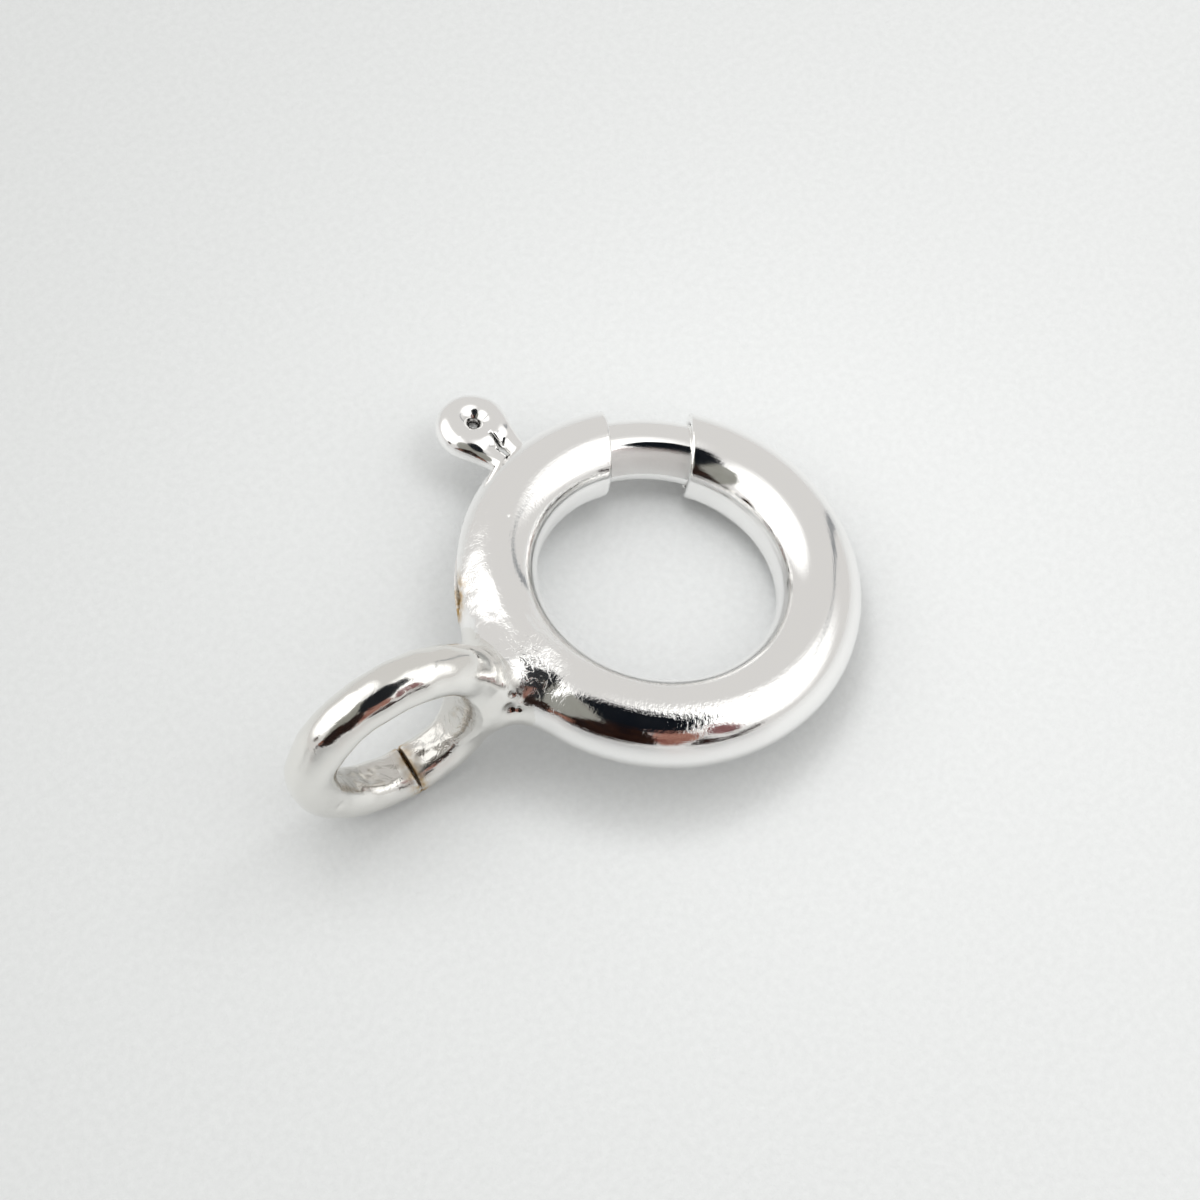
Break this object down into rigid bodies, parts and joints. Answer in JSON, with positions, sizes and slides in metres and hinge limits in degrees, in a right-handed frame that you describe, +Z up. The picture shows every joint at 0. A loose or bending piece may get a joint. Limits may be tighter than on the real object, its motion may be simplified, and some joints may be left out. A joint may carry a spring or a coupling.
{
  "type": "spring ring clasp",
  "caption": "Small polished round clasp with a sprung bolt across the gap, a wire thumb lever with an eye, and a soldered attachment loop.",
  "frame": {"origin": "middle of the bounding box on the surface that the clasp lies on, with the clasp at rest and closed", "axes": "+X from the attachment loop to the far edge of the ring, +Y across, on the side of the thumb lever, +Z up from the surface"},
  "size_m": [0.0092, 0.0072, 0.0034],
  "materials": {
    "polished_silver": "polished silver",
    "bolt_silver": "polished silver",
    "lever_silver": "polished silver",
    "spring_steel": "drawn wire"
  },
  "bodies": {
    "case": {"ring_case": "polished_silver", "spring": "spring_steel"},
    "bolt": {"bolt": "bolt_silver", "thumb_lever": "lever_silver"}
  },
  "joints": [
    {"name": "bolt_slide", "type": "hinge", "parent": "case", "child": "bolt", "pos_m": [0.00164, -0.00062, 0.00099], "axis": [0.1539, 0, 0.9881], "range_deg": [0, 38], "stiffness_Nm_per_rad": 0.0036, "springref_deg": -37.82, "deforming": ["spring"]}
  ]
}
